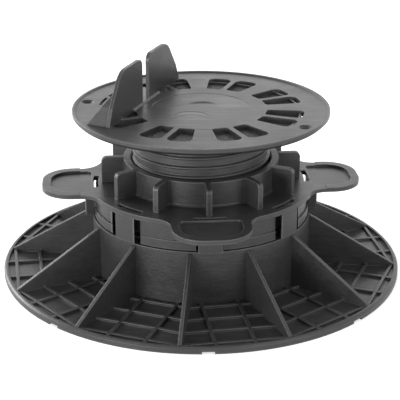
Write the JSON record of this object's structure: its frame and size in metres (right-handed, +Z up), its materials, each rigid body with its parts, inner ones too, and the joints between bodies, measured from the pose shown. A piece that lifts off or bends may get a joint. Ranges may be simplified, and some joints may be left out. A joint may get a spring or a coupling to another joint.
{
  "type": "decking pedestal",
  "caption": "Adjustable black plastic pedestal: ribbed round base, finned adjusting nut with ears, and a threaded screw head with a slotted disc and upright joist stops.",
  "frame": {"origin": "centre of the base's underside, on the pedestal's upright axis", "axes": "+Z up along the pedestal's axis, front at -Y, where one of the four pairs of drain notches lies"},
  "size_m": [0.2, 0.2, 0.1057],
  "materials": {
    "base_plastic": "moulded black polypropylene, satin",
    "nut_plastic": "moulded black polypropylene, satin",
    "head_plastic": "moulded black polypropylene, satin"
  },
  "bodies": {
    "base": {"base": "base_plastic"},
    "nut": {"adjusting_nut": "nut_plastic"},
    "head": {"screw_head": "head_plastic"}
  },
  "joints": [
    {"name": "nut_spin", "type": "hinge", "parent": "base", "child": "nut", "pos_m": [0, 0, 0.045], "axis": [0, 0, 1], "range_deg": [-1500, 1440]},
    {"name": "head_lift", "type": "slide", "parent": "base", "child": "head", "axis": [0, 0, 1], "range_m": [-0.0193, 0.0201]}
  ],
  "couplings": [
    {"joint": "head_lift", "follows": "nut_spin", "m_per_rad": -0.00076394}
  ]
}
